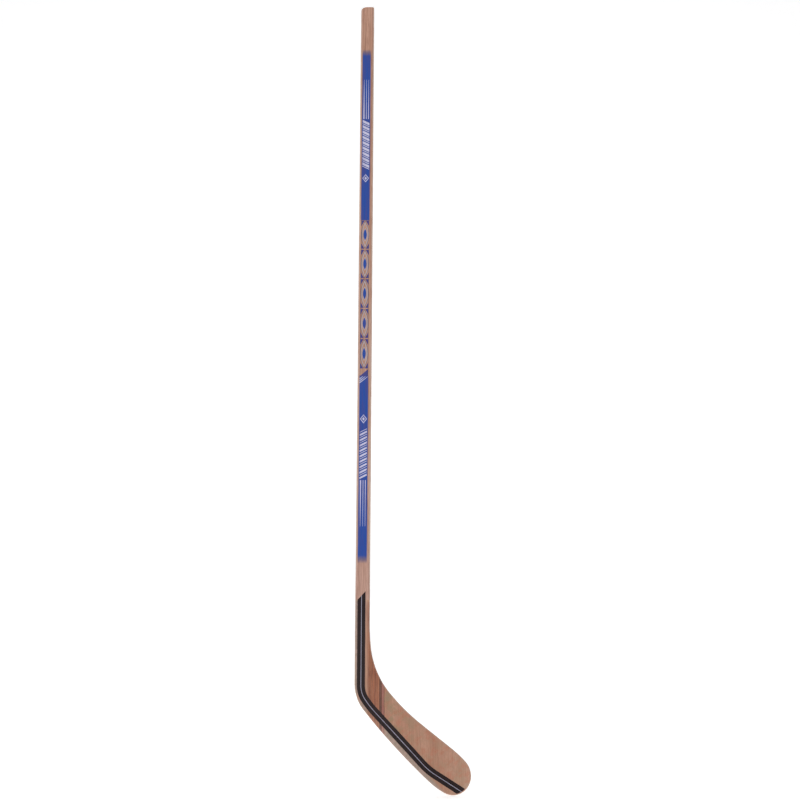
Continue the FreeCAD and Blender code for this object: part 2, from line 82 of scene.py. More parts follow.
# --- node helpers ---
class Nodes:
    """Builds a material's node tree with short calls. Values are sockets, numbers or tuples."""

    def __init__(self, name):
        self.material = bpy.data.materials.new(name)
        self.material.use_nodes = True
        self.tree = self.material.node_tree
        self.tree.nodes.clear()
        self.output = self.add("ShaderNodeOutputMaterial")

    def add(self, kind, **settings):
        node = self.tree.nodes.new(kind)
        for key, value in settings.items():
            setattr(node, key, value)
        return node

    def feed(self, socket, value):
        if isinstance(value, bpy.types.NodeSocket):
            self.tree.links.new(value, socket)
        elif value is not None:
            socket.default_value = value

    def math(self, operation, first, second=None):
        node = self.add("ShaderNodeMath", operation=operation)
        self.feed(node.inputs[0], first)
        self.feed(node.inputs[1], second)
        return node.outputs[0]

    def plus(self, first, second):
        return self.math("ADD", first, second)

    def minus(self, first, second):
        return self.math("SUBTRACT", first, second)

    def times(self, *factors):
        product = factors[0]
        for factor in factors[1:]:
            product = self.math("MULTIPLY", product, factor)
        return product

    def away(self, value, middle):
        """How far value is from middle, on either side."""
        return self.math("ABSOLUTE", self.minus(value, middle))

    def ramp(self, value, low, high):
        """0 at low, 1 at high and smooth between. The two may be in either order."""
        node = self.add("ShaderNodeMapRange", interpolation_type="SMOOTHSTEP", clamp=True)
        self.feed(node.inputs["Value"], value)
        self.feed(node.inputs["From Min"], low)
        self.feed(node.inputs["From Max"], high)
        return node.outputs[0]

    def mix(self, factor, first, second, blend="MIX"):
        node = self.add("ShaderNodeMix", data_type="RGBA", blend_type=blend, clamp_factor=True)
        self.feed(node.inputs[0], factor)
        self.feed(node.inputs[6], first)
        self.feed(node.inputs[7], second)
        return node.outputs[2]

    def tint(self, color, tone, mask, share):
        """The colour moved towards tone by share, where mask is 1."""
        return self.mix(self.times(mask, share), color, tone)

    def place(self):
        return self.add("ShaderNodeTexCoord").outputs["Object"]

    def split(self, vector):
        node = self.add("ShaderNodeSeparateXYZ")
        self.feed(node.inputs[0], vector)
        return node.outputs

    def stretch(self, vector, scale, turn=0.0):
        """Scales a place along its axes after turning it about Y, so that a grain can follow the blade."""
        if turn:
            rotate = self.add("ShaderNodeVectorRotate", rotation_type="Y_AXIS")
            self.feed(rotate.inputs["Vector"], vector)
            rotate.inputs["Angle"].default_value = turn
            vector = rotate.outputs[0]
        node = self.add("ShaderNodeVectorMath", operation="MULTIPLY")
        self.feed(node.inputs[0], vector)
        node.inputs[1].default_value = scale
        return node.outputs[0]

    def noise(self, vector, scale, turn=0.0, detail=3.0, roughness=0.55):
        """Noise around 0.5. scale says how often it varies in a metre along each axis."""
        node = self.add("ShaderNodeTexNoise")
        self.feed(node.inputs["Vector"], self.stretch(vector, scale, turn))
        node.inputs["Scale"].default_value = 1.0
        node.inputs["Detail"].default_value = detail
        node.inputs["Roughness"].default_value = roughness
        return node.outputs[0]

    def bump(self, height, distance, strength):
        node = self.add("ShaderNodeBump")
        self.feed(node.inputs["Height"], height)
        node.inputs["Distance"].default_value = distance
        node.inputs["Strength"].default_value = strength
        return node.outputs[0]

    def finish(self, color, roughness, normal=None, coat=0.0, coat_roughness=0.12, specular=0.4,
               coat_normal=None, glow=0.0):
        surface = self.add("ShaderNodeBsdfPrincipled")
        self.feed(surface.inputs["Base Color"], color)
        self.feed(surface.inputs["Roughness"], roughness)
        self.feed(surface.inputs["Normal"], normal)
        self.feed(surface.inputs["Specular IOR Level"], specular)
        self.feed(surface.inputs["Coat Weight"], coat)
        self.feed(surface.inputs["Coat Roughness"], coat_roughness)
        self.feed(surface.inputs["Coat Normal"], coat_normal)
        self.feed(surface.inputs["Emission Color"], color)
        self.feed(surface.inputs["Emission Strength"], glow)
        self.tree.links.new(surface.outputs[0], self.output.inputs[0])
        return self.material


def rgb(red, green, blue):
    """A linear colour from 0 to 255 screen values."""
    def linear(value):
        share = value / 255
        return share / 12.92 if share <= 0.04045 else ((share + 0.055) / 1.055) ** 2.4
    return (linear(red), linear(green), linear(blue), 1.0)


# --- wood ---
ALONG_SHAFT = 0.0
ALONG_BLADE = math.radians(-45)

# each wood's tones: base, dark and pale
SHAFT_TONES = (rgb(182, 131, 107), rgb(124, 76, 56), rgb(204, 160, 138))
LOW_TONES = (rgb(191, 148, 131), rgb(129, 83, 65), rgb(211, 174, 159))
INNER_TONES = (rgb(172, 124, 96), rgb(122, 76, 54), rgb(192, 150, 122))
CORE_TONES = (rgb(206, 172, 132), rgb(168, 126, 88), rgb(224, 196, 158))
BLOCK_TONES = (rgb(172, 101, 68), rgb(86, 38, 24), rgb(186, 124, 88))
DARK_TONES = (rgb(98, 44, 29), rgb(52, 22, 16), rgb(114, 56, 39))
PALE_TONES = (rgb(172, 112, 102), rgb(132, 78, 68), rgb(192, 136, 126))
BLADE_TONES = (rgb(190, 146, 122), rgb(150, 106, 84), rgb(206, 166, 144))

# each wood's own figure: seed moves the grain, and ring is the mean spacing of the growth rings
SHAFT_GRAIN = {"seed": 0.0, "ring": 0.004}
INNER_GRAIN = {"seed": 1.7, "ring": 0.004}
CORE_GRAIN = {"seed": 3.1, "ring": 0.0028}
BLOCK_GRAIN = {"seed": 2.3, "ring": 0.0046}
DARK_GRAIN = {"seed": 4.1, "ring": 0.003}
PALE_GRAIN = {"seed": 5.2, "ring": 0.003}
BLADE_GRAIN = {"seed": 7.7, "ring": 0.009}

# scales of the wood's noises: across the grain, through the ply and along the grain
BROAD = (60, 60, 3.0)
SWAY = (25, 25, 4.0)
STREAK = (300, 300, 8)
DASH = (620, 620, 42)
FIBRE = (2600, 2600, 60)
PORE = (3400, 3400, 170)
SEED_STEPS = (1.0, 0.7, 1.3)
RING_SLANT = 0.35
RING_SWAY = 5.0
LATE_WOOD_POWER = 2.5


def wood_color(nodes, place, base, dark, pale, seed, ring, turn=ALONG_SHAFT, figure=1.0):
    """Colour and pore height of solid wood whose grain runs along Z, turned about Y by turn."""
    shifted = nodes.add("ShaderNodeVectorMath", operation="ADD")
    nodes.feed(shifted.inputs[0], place)
    shifted.inputs[1].default_value = [seed * step for step in SEED_STEPS]
    spot = shifted.outputs[0]
    axes = nodes.split(nodes.stretch(spot, (1, 1, 1), turn))
    broad = nodes.noise(spot, BROAD, turn, detail=2)
    sway = nodes.noise(spot, SWAY, turn)
    fibre = nodes.noise(spot, FIBRE, turn, detail=4, roughness=0.65)
    streak = nodes.noise(spot, STREAK, turn, roughness=0.6)
    dash = nodes.noise(spot, DASH, turn, detail=2)
    pores = nodes.ramp(nodes.noise(spot, PORE, turn, detail=1), 0.66, 0.74)
    across = nodes.plus(axes[0], nodes.times(axes[1], RING_SLANT))
    rings = nodes.plus(nodes.times(across, 1 / ring), nodes.times(sway, RING_SWAY))
    late_wood = nodes.math("POWER", nodes.math("FRACT", rings), LATE_WOOD_POWER)
    layers = (
        (broad, (0.30, 0.70), pale, 1.0),
        (late_wood, None, dark, 0.42 * figure),
        (streak, (0.46, 0.64), dark, 0.42 * figure),
        (dash, (0.54, 0.68), dark, 0.40 * figure),
        (dash, (0.46, 0.30), pale, 0.35 * figure),
        (fibre, (0.35, 0.70), pale, 0.28),
        (pores, None, dark, 0.60),
    )
    color = base
    for mask, limits, tone, share in layers:
        if limits:
            mask = nodes.ramp(mask, *limits)
        color = nodes.tint(color, tone, mask, share)
    return color, nodes.minus(nodes.times(fibre, 0.4), pores)


def shaft_color(nodes, place, low_share):
    """The shaft's wood, moved by low_share towards the paler and pinker wood low on the shaft."""
    tones = [nodes.mix(low_share, high, low) for high, low in zip(SHAFT_TONES, LOW_TONES)]
    return wood_color(nodes, place, *tones, **SHAFT_GRAIN)


def lowness(nodes, place):
    """0 on the upper half of the shaft, 1 below the lower blue panel."""
    return nodes.ramp(nodes.split(place)[2], UPPER_FOOT, LOWER_FOOT)


# --- wear, painted edge highlights, spray and lacquer ---
# how much a face points along Y: 1 on the broad faces, 0 on the narrow ones, and the paler edges, partly wear
# and partly painted highlight, only in between
BROAD_FACE = (0.985, 0.80)
NARROW_FACE = (0.05, 0.30)
EDGE_PATCH_SCALE = (300, 300, 40)
# pale tone of the rounded edges: partly rubbed wear, partly a painted highlight of the lacquer's sheen
EDGE_WEAR_AND_SHEEN_TONE = rgb(216, 198, 186)
SCRATCH = (240, 240, 1400)
SCRATCH_TURN = math.radians(28)
SCRATCH_ZONE = (30, 30, 8)


def edge_wear_and_sheen(nodes, place):
    """Paler rounded edges, partly worn lacquer and partly a painted highlight of its sheen: 1 on the rounded
    edges, 0 on the broad and narrow faces, broken up into patches by noise.
    """
    normal = nodes.split(nodes.add("ShaderNodeNewGeometry").outputs["Normal"])
    facing = nodes.math("ABSOLUTE", normal[1])
    edge = nodes.times(nodes.ramp(facing, *BROAD_FACE), nodes.ramp(facing, *NARROW_FACE))
    return nodes.times(edge, nodes.ramp(nodes.noise(place, EDGE_PATCH_SCALE), 0.2, 0.65))


def scuffs(nodes, place):
    """Sparse short scratches in the lacquer."""
    scratch = nodes.ramp(nodes.noise(place, SCRATCH, SCRATCH_TURN, detail=1), 0.76, 0.80)
    return nodes.times(scratch, nodes.ramp(nodes.noise(place, SCRATCH_ZONE, detail=2), 0.55, 0.70))


# the blue panels' outer ends are sprayed: the fade runs from inside the film's end to just beyond it
FADE_START, FADE_END = 0.0165, -0.0020
OUTER_ENDS = ((UPPER_TOP, -1), (LOWER_FOOT, 1))
SPRAY_TONE = rgb(84, 82, 104)
SPRAY_GRAIN = (1500, 1500, 260)
SPRAY_SIDES = (PRINT_HALF + 0.0022, PRINT_HALF - 0.0006)
# the bare stretch between the panels
BARE_MIDDLE = (LOWER_TOP + UPPER_FOOT) / 2
BARE_HALF = (UPPER_FOOT - LOWER_TOP) / 2
# near the lower panel's foot the blue is deeper
DEEP_BLUE = rgb(14, 68, 160)
DEEP_FOOT = (LOWER_FOOT + 0.10, LOWER_FOOT + 0.01)


def sprayed_height(nodes, place, scatter):
    """The height of a place, scattered a little from point to point like drops of spray."""
    grain = nodes.noise(place, SPRAY_GRAIN, roughness=0.7)
    return nodes.plus(nodes.split(place)[2], nodes.times(nodes.minus(grain, 0.5), scatter))


def overspray(nodes, place):
    """A breath of the panels' blue on the wood along their sides."""
    axes = nodes.split(place)
    height = sprayed_height(nodes, place, 0.010)
    aside = nodes.ramp(nodes.away(axes[0], PRINT_MIDDLE), *SPRAY_SIDES)
    on_panels = nodes.ramp(nodes.away(axes[2], BARE_MIDDLE), BARE_HALF - 0.003, BARE_HALF)
    shown = nodes.times(aside, on_panels, 0.62)
    for end, inward in OUTER_ENDS:
        shown = nodes.times(shown, nodes.ramp(height, end + inward * FADE_END, end + inward * FADE_START))
    return shown


def soft_ends(nodes, place, tone):
    """Melts the blue panels into the wood at their outer ends, and makes the blue deeper near the foot."""
    tone = nodes.tint(tone, DEEP_BLUE, nodes.ramp(nodes.split(place)[2], *DEEP_FOOT), 0.75)
    wood, _ = shaft_color(nodes, place, lowness(nodes, place))
    height = sprayed_height(nodes, place, 0.008)
    for end, inward in OUTER_ENDS:
        fade = nodes.ramp(height, end + inward * FADE_START, end + inward * FADE_END)
        dusk = nodes.times(fade, nodes.minus(1.0, fade), 1.8)
        tone = nodes.mix(dusk, nodes.mix(fade, tone, wood), SPRAY_TONE)
    return tone


RIPPLE = (150, 150, 25)
RIPPLE_DEPTH, RIPPLE_STRENGTH = 0.00012, 0.35
DUST = (900, 900, 900)
HANDLED = (40, 40, 9)
PORE_DEPTH, PORE_STRENGTH = 0.00006, 0.6


def rippled(nodes, place, detail, share):
    """The surface of a brushed lacquer, with share of a finer detail in it."""
    ripple = nodes.noise(place, RIPPLE, detail=2)
    return nodes.bump(nodes.plus(ripple, nodes.times(detail, share)), RIPPLE_DEPTH, RIPPLE_STRENGTH)


def lacquered(nodes, place, color, dark, height):
    """Finishes a wood's colour and pores with paler edges, partly worn and partly a painted highlight, scuffs
    and a coat of lacquer.
    """
    # paler rounded edges: partly wear, partly a painted highlight
    color = nodes.tint(color, EDGE_WEAR_AND_SHEEN_TONE, edge_wear_and_sheen(nodes, place), 0.6)
    color = nodes.tint(color, dark, scuffs(nodes, place), 0.5)
    relief = nodes.bump(height, PORE_DEPTH, PORE_STRENGTH)
    dust = nodes.noise(place, DUST, detail=2)
    handled = nodes.ramp(nodes.noise(place, HANDLED), 0.4, 0.7)
    coat_roughness = nodes.plus(0.16, nodes.times(handled, 0.14))
    coat_relief = rippled(nodes, place, dust, 0.05)
    return nodes.finish(color, roughness=0.55, normal=relief, coat=0.4, coat_roughness=coat_roughness,
                        coat_normal=coat_relief)


def lacquered_wood(name, tones, **grain):
    """Solid wood under lacquer, in one wood's tones and grain."""
    nodes = Nodes(name)
    place = nodes.place()
    color, height = wood_color(nodes, place, *tones, **grain)
    return lacquered(nodes, place, color, tones[1], height)


def shaft_wood():
    """The shaft's outer plies, with a breath of the print on them."""
    nodes = Nodes("shaft_wood")
    place = nodes.place()
    low = lowness(nodes, place)
    color, height = shaft_color(nodes, place, low)
    color = nodes.mix(overspray(nodes, place), color, SPRAY_TONE)
    dark = nodes.mix(low, SHAFT_TONES[1], LOW_TONES[1])
    return lacquered(nodes, place, color, dark, height)


# --- resin cloth over the heel and blade ---
# where each part of the cloth's look sets in: 0 at the first value, 1 at the second
SHAFT_TO_BLOCK = (HALF_WIDTH - 0.009, HALF_WIDTH + 0.001)
STILL_PALE = (HEEL_Z + 0.12, HEEL_Z + 0.22)
BEYOND_HEEL = (LIGHT_END - 0.001, LIGHT_END + 0.001)
NEAR_HEEL = (LIGHT_END + 0.085, LIGHT_END + 0.010)
HEEL_WOODS = (LIGHT_END + 0.006, LIGHT_END - 0.003)
GREYER_TOE = (LIGHT_END + 0.040, LIGHT_END + 0.120)
PAST_SHAFT = (HALF_WIDTH - 0.010, HALF_WIDTH - 0.001)
BELOW_TOP = (CLOTH_TOP + 0.002, CLOTH_TOP - 0.012)
TOP_RIM = (CLOTH_TOP - 0.006, CLOTH_TOP - 0.001)
AMBER_IN = (HALF_WIDTH - 0.018, HALF_WIDTH + 0.004)
TOE_TIP = (TOE_END - 0.07, TOE_END - 0.01)
HEEL_LEAN = math.radians(46)
STRIPE_OUTER = -0.0015
UNDER_STRIPES = (STRIPE_OUTER + 0.006, STRIPE_OUTER - 0.002)
BEHIND_STRIPES = (-0.006, -0.011)

SEAM = 0.0003
GLUE_LINE = (0.0011, 0.0004)
GLUE = rgb(70, 34, 24)
THICK_RESIN = rgb(160, 144, 114)
THIN_RESIN = rgb(194, 120, 92)
OUTSIDE_DARK = rgb(142, 129, 118)
OUTSIDE_LIGHT = rgb(170, 148, 140)
OUTSIDE_GREY = rgb(158, 147, 140)
RIM_TONE = rgb(200, 170, 130)
AMBER = (0.84, 0.71, 0.65, 1.0)
THREAD_TONE = rgb(206, 178, 156)
BUBBLE_TONE = rgb(214, 200, 186)
# pale tone of the cloth's rounded edges: partly wear, partly a painted highlight
CLOTH_SHEEN_AND_WEAR_TONE = rgb(208, 194, 186)

CLOUD = (46, 60, 46)
WARMTH = (110, 60, 70)
WANDER = (120, 120, 60)
WANDER_TURNS = 4.0
WEAVE_PATCH = (22, 22, 22)
BUBBLE = (1500, 1500, 1500)
THREAD_SPACING, RIB_SPACING = 0.0016, 0.0042
WEAVE_DEPTH, WEAVE_STRENGTH = 0.00005, 0.5


def woods_below(nodes, place, axes):
    """Colour and pore height of the woods under the cloth, with dark glue lines where they meet."""
    x = axes[0]
    shaft, _ = shaft_color(nodes, place, nodes.ramp(axes[2], *STILL_PALE))
    block, _ = wood_color(nodes, place, *BLOCK_TONES, **BLOCK_GRAIN, figure=1.4)
    dark, _ = wood_color(nodes, place, *DARK_TONES, **DARK_GRAIN)
    pale, _ = wood_color(nodes, place, *PALE_TONES, **PALE_GRAIN)
    blade, height = wood_color(nodes, place, *BLADE_TONES, **BLADE_GRAIN, figure=0.6)
    color = nodes.mix(nodes.ramp(x, *SHAFT_TO_BLOCK), shaft, block)
    for start, tone in ((BLOCK_END, dark), (DARK_END, pale), (LIGHT_END, blade)):
        color = nodes.mix(nodes.ramp(x, start - SEAM, start + SEAM), color, tone)
    for joint, share in ((HALF_WIDTH, 0.15), (BLOCK_END, 0.75), (DARK_END, 0.30), (LIGHT_END, 0.85)):
        color = nodes.tint(color, GLUE, nodes.ramp(nodes.away(x, joint), *GLUE_LINE), share)
    return color, height


def outside_stripes(nodes, axes):
    """1 between the stripes and the back of the shaft or the sole, 0 inside them."""
    sideways = nodes.times(axes[0], math.sin(HEEL_LEAN))
    upward = nodes.times(nodes.minus(axes[2], HEEL_Z), math.cos(HEEL_LEAN))
    under = nodes.ramp(nodes.plus(sideways, upward), *UNDER_STRIPES)
    return nodes.math("MAXIMUM", under, nodes.ramp(axes[0], *BEHIND_STRIPES))


def weave_height(nodes, place, x):
    """Fine threads at both slants, with broader upright ribs."""
    wander = nodes.times(nodes.noise(place, WANDER, detail=2), WANDER_TURNS)
    turned = nodes.split(nodes.stretch(place, (1, 1, 1), ALONG_BLADE))
    waves = []
    for axis, spacing in ((turned[0], THREAD_SPACING), (turned[2], THREAD_SPACING), (x, RIB_SPACING)):
        phase = nodes.plus(nodes.times(axis, math.tau / spacing), wander)
        waves.append(nodes.math("SINE", phase))
    threads = nodes.plus(waves[0], waves[1])
    return nodes.plus(nodes.times(threads, 0.4), nodes.times(waves[2], 0.35))


def cloth_over_wood():
    """Fibreglass cloth in resin: the woods of the heel show through a fine ribbed weave."""
    nodes = Nodes("resin_cloth")
    place = nodes.place()
    axes = nodes.split(place)
    x = axes[0]
    color, height = woods_below(nodes, place, axes)
    cloud = nodes.noise(place, CLOUD, ALONG_BLADE, detail=6, roughness=0.7)
    warmth = nodes.noise(place, WARMTH, ALONG_BLADE, detail=5, roughness=0.6)
    outside = outside_stripes(nodes, axes)
    past_shaft = nodes.times(nodes.ramp(x, *PAST_SHAFT), nodes.ramp(axes[2], *BELOW_TOP))

    # cloudy resin: grey-green where it is thick, reddish where it is thin
    beyond = nodes.ramp(x, *BEYOND_HEEL)
    thick = nodes.times(nodes.ramp(cloud, 0.4, 0.6), nodes.plus(nodes.ramp(x, *NEAR_HEEL), 0.45))
    color = nodes.tint(color, THICK_RESIN, thick, nodes.plus(nodes.times(beyond, 0.55), 0.06))
    thin = nodes.times(nodes.ramp(warmth, 0.46, 0.62), nodes.plus(0.2, beyond))
    color = nodes.tint(color, THIN_RESIN, thin, 0.36)

    # outside the stripes the colour is pale and patchy, but the heel's woods show through it
    patchy = nodes.mix(nodes.ramp(warmth, 0.4, 0.6), OUTSIDE_DARK, OUTSIDE_LIGHT)
    patchy = nodes.tint(patchy, OUTSIDE_GREY, nodes.ramp(x, *GREYER_TOE), 0.6)
    heel_woods = nodes.times(past_shaft, nodes.ramp(x, *HEEL_WOODS), 0.62)
    color = nodes.tint(color, patchy, outside, nodes.minus(0.78, heel_woods))

    # a rim of resin where the cloth stops on the shaft
    color = nodes.tint(color, RIM_TONE, nodes.ramp(axes[2], *TOP_RIM), 0.3)

    # inside the stripes the resin is amber, and less so at the toe's tip
    amber = nodes.times(past_shaft, nodes.ramp(x, *AMBER_IN), nodes.minus(1.0, outside))
    tip = nodes.times(nodes.ramp(x, *TOE_TIP), 0.75)
    color = nodes.mix(nodes.times(amber, nodes.minus(1.0, tip)), color, AMBER, blend="MULTIPLY")

    # the weave, small bubbles and paler edges, partly worn and partly a painted highlight
    weave = weave_height(nodes, place, x)
    patch = nodes.ramp(nodes.noise(place, WEAVE_PATCH, detail=2), 0.3, 0.6)
    color = nodes.tint(color, THREAD_TONE, nodes.times(nodes.ramp(weave, -0.2, 0.9), patch), 0.22)
    bubbles = nodes.ramp(nodes.noise(place, BUBBLE, detail=1), 0.70, 0.76)
    color = nodes.tint(color, BUBBLE_TONE, bubbles, 0.35)
    # paler rounded edges: partly wear, partly a painted highlight
    color = nodes.tint(color, CLOTH_SHEEN_AND_WEAR_TONE, edge_wear_and_sheen(nodes, place), 0.65)
    relief = nodes.minus(nodes.plus(weave, nodes.times(height, 0.3)), bubbles)
    relief = nodes.bump(relief, WEAVE_DEPTH, WEAVE_STRENGTH)
    roughness = nodes.plus(0.32, nodes.times(cloud, 0.15))
    return nodes.finish(color, roughness, relief, coat=0.25, coat_roughness=0.25)


# --- printed foil ---
INK_CLOUD = (180, 180, 12)
FLECK = (900, 900, 300)
INK_GLOSS, BLACK_GLOSS = 0.4, 0.14


def ink(name, color, shade, fade=None, gloss=INK_GLOSS):
    """Printed foil under lacquer, with the wood's fibres showing faintly through and small worn flecks."""
    nodes = Nodes(name)
    place = nodes.place()
    fibre = nodes.noise(place, FIBRE)
    cloudy = nodes.noise(place, INK_CLOUD)
    flecks = nodes.ramp(nodes.noise(place, FLECK, detail=2), 0.74, 0.78)
    tone = nodes.tint(color, shade, nodes.ramp(cloudy, 0.38, 0.66), 0.6)
    tone = nodes.tint(tone, shade, nodes.ramp(fibre, 0.5, 0.8), 0.25)
    tone = nodes.tint(tone, SHAFT_TONES[2], flecks, 0.35)
    if fade:
        tone = fade(nodes, place, tone)
    roughness = nodes.plus(0.28, nodes.times(cloudy, 0.16))
    relief = rippled(nodes, place, fibre, 0.12)
    return nodes.finish(tone, roughness, relief, coat=gloss, coat_roughness=0.15, specular=gloss)


BLUE = ink("print_blue", rgb(22, 72, 162), rgb(72, 66, 132), fade=soft_ends)
ACCENT = ink("print_violet", rgb(66, 58, 132), rgb(60, 78, 138))
BLACK = ink("print_black", rgb(34, 24, 26), rgb(48, 34, 34), gloss=BLACK_GLOSS)
LINE = ink("print_line", rgb(84, 70, 92), rgb(66, 54, 74))
GREY = ink("print_grey", rgb(166, 162, 180), rgb(134, 128, 148))
WHITE = ink("print_white", rgb(210, 208, 230), rgb(174, 172, 210))
CHALK = ink("print_chalk", rgb(188, 174, 176), rgb(166, 150, 154))


def paint(material, *names):
    """Gives CAD nodes their material."""
    for name in names:
        data = NODES[name].data
        data.materials.clear()
        data.materials.append(material)
        for polygon in data.polygons:
            polygon.material_index = 0


paint(shaft_wood(), "shaft_outer_ply_front", "shaft_outer_ply_back")
INNER_WOOD = lacquered_wood("inner_ply_wood", INNER_TONES, **INNER_GRAIN)
paint(INNER_WOOD, "shaft_inner_ply_front", "shaft_inner_ply_back")
paint(lacquered_wood("core_wood", CORE_TONES, **CORE_GRAIN), "shaft_core")
paint(lacquered_wood("block_wood", BLOCK_TONES, **BLOCK_GRAIN), "heel_block")
paint(lacquered_wood("dark_wood", DARK_TONES, **DARK_GRAIN), "heel_strip_dark")
paint(lacquered_wood("pale_wood", PALE_TONES, **PALE_GRAIN), "heel_strip_light")
paint(lacquered_wood("blade_wood", BLADE_TONES, turn=ALONG_BLADE, **BLADE_GRAIN), "blade_core")
paint(cloth_over_wood(), "blade_cloth_front", "blade_cloth_back")
paint(BLUE, "shaft_print_front", "shaft_print_back")
paint(BLACK, "stripes_black_front", "stripes_black_back")
paint(GREY, "stripe_grey_front", "stripe_grey_back")


# --- printed motifs: thin plates on the blue panels and on the bare wood between them ---
# a plate's outline is a loop of (x, z) points, with x measured from the middle of the print
PLATE = 0.00006
LENS_STEPS = 20


def lens(half_width, half_length, middle):
    """A pointed lens that stands along Z."""
    right = []
    for step in range(LENS_STEPS + 1):
        share = 2 * step / LENS_STEPS - 1
        right.append((half_width * (1 - share**2), middle + half_length * share))
    return right + [(-x, z) for x, z in right[-2:0:-1]]


def diamond(half_width, half_length, middle):
    return [(0, middle - half_length), (half_width, middle), (0, middle + half_length), (-half_width, middle)]


def plates(name, outlines, rings, surface, outward, material, slot):
    """One printed piece of flat plates. Each ring is a pair of outlines, outer and inner.

    outward is -1 on the front face and 1 on the back."""
    mesh = bmesh.new()
    heights = (surface, surface + outward * PLATE)

    def loops(points):
        return [[mesh.verts.new((PRINT_MIDDLE + x, y, z)) for x, z in points] for y in heights]

    def wall(low, high):
        for n in range(len(low)):
            after = (n + 1) % len(low)
            mesh.faces.new((low[n], low[after], high[after], high[n]))

    for points in outlines:
        low, high = loops(points)
        mesh.faces.new(low)
        mesh.faces.new(high)
        wall(low, high)
    for outer, inner in rings:
        low, high = loops(outer)
        low_inner, high_inner = loops(inner)
        for pair in ((low, high), (low_inner, high_inner), (low, low_inner), (high, high_inner)):
            wall(*pair)
    bmesh.ops.recalc_face_normals(mesh, faces=mesh.faces)
    piece = new_object(name, mesh, material)
    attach(piece, "root")


def new_object(name, mesh, material):
    """Turns a bmesh into an object of the scene."""
    data = bpy.data.meshes.new(name)
    mesh.to_mesh(data)
    mesh.free()
    data.materials.append(material)
    made = bpy.data.objects.new(name, data)
    bpy.context.scene.collection.objects.link(made)
    return made


# pinstripes: place across the panel and width
PINSTRIPES = ((-0.0050, 0.0028), (0.0002, 0.0014), (0.0050, 0.0016))
PINSTRIPE_START, PINSTRIPE_END = 0.074, 0.169
PINSTRIPE_POINT = 0.0005
# slanted bars: a broad and a thin one in each pitch, as shares of it
BARS = 9
BAR_SHARES = ((0.0, 0.48), (0.64, 0.16))
BAR_GAP, BAR_RISE, BAR_REACH = 0.002, 0.0075, 0.0074
UPPER_BARS = {"length": 0.121, "boldness": 1.0}
LOWER_BARS = {"length": 0.109, "boldness": 0.75}
# the small diamond: half widths and half lengths of its outline, its opening and its dot
SIGN_GAP = 0.010
SIGN, SIGN_OPENING, SIGN_DOT = (0.0072, 0.0095), (0.0054, 0.0071), (0.0028, 0.0038)


def panel_motifs(outer_end, inward, length, boldness):
    """Pinstripes, a run of slanted bars and a small diamond, from a panel's outer end inwards."""
    def at(distance):
        return outer_end + inward * distance

    outlines = []
    near, far = at(PINSTRIPE_START), at(PINSTRIPE_END)
    for x, width in PINSTRIPES:
        half, point = width / 2, PINSTRIPE_POINT / 2
        outlines.append([(x - point, near), (x + point, near), (x + half, far), (x - half, far)])
    pitch = (length - BAR_RISE) / BARS
    rise = inward * BAR_RISE
    for n in range(BARS):
        for offset, width in BAR_SHARES:
            low = at(PINSTRIPE_END + BAR_GAP + pitch * (n + offset))
            high = low + inward * pitch * width * boldness
            right = [(BAR_REACH, low + rise), (BAR_REACH, high + rise)]
            outlines.append([(-BAR_REACH, low)] + right + [(-BAR_REACH, high)])
    middle = at(PINSTRIPE_END + length + SIGN_GAP + SIGN[1])
    outlines.append(diamond(*SIGN_DOT, middle))
    return outlines, [(diamond(*SIGN, middle), diamond(*SIGN_OPENING, middle))]


SIDE_LINE = 0.0007


def side_lines():
    """Thin lines down both sides of the bare stretch, in line with the panels' edges."""
    outlines = []
    for left in (-PRINT_HALF, PRINT_HALF - SIDE_LINE):
        right = left + SIDE_LINE
        outlines.append([(left, LOWER_TOP), (right, LOWER_TOP), (right, UPPER_FOOT), (left, UPPER_FOOT)])
    return outlines


LENSES = 5
WEDGE = 0.0155
LENS_GAP = 0.0015
# each lens from the outside in: half width and how much it is shortened at both ends
LENS_RIM, LENS_BAND, LENS_HOLLOW = (0.0082, 0.0), (0.0075, 0.0018), (0.0054, 0.0066)
# the eye of each lens: half widths and half lengths of its ring and its core
EYE, EYE_CORE = (0.0044, 0.0160), (0.0036, 0.0130)
# the triangles between the lenses: how far from the print's middle and from the joint
CORNER_SIDE, CORNER_POINT = 0.0080, 0.0015
CORNER_FOOT, CORNER_REACH = 0.0012, 0.0135


def lens_chain():
    """A chain of pointed lenses down the bare stretch, with small triangles in the gaps between them."""
    start = LOWER_TOP + WEDGE
    pitch = (UPPER_FOOT - start) / LENSES
    pale_rings, dark_rings, cores, triangles = [], [], [], []
    for n in range(LENSES):
        middle = start + pitch * (n + 0.5)
        half = pitch / 2 - LENS_GAP
        rim, band, hollow = (lens(w, half - short, middle) for w, short in (LENS_RIM, LENS_BAND, LENS_HOLLOW))
        core = lens(*EYE_CORE, middle)
        dark_rings.append((rim, band))
        pale_rings.append((band, hollow))
        pale_rings.append((lens(*EYE, middle), core))
        cores.append(core)
    for n in range(LENSES + 1):
        joint = start + pitch * n
        for side in (-1, 1):
            for way in (-1, 1):
                foot, tip = joint + way * CORNER_FOOT, joint + way * CORNER_REACH
                if start <= tip <= UPPER_FOOT:
                    outer = side * CORNER_SIDE
                    triangles.append([(outer, foot), (side * CORNER_POINT, foot), (outer, tip)])
    triangles.append([(-PRINT_HALF, LOWER_TOP), (PRINT_HALF, LOWER_TOP), (PRINT_HALF, start)])
    return pale_rings, dark_rings, cores, triangles


EDGE_BARS = 3
EDGE_PITCH, EDGE_FAR_PITCH, EDGE_STEP_BACK = 0.0042, 0.0004, 0.0050
EDGE_WIDE, EDGE_THIN = 0.0026, 0.0008
EDGE_DROP, EDGE_MARGIN = 0.0012, 0.0006


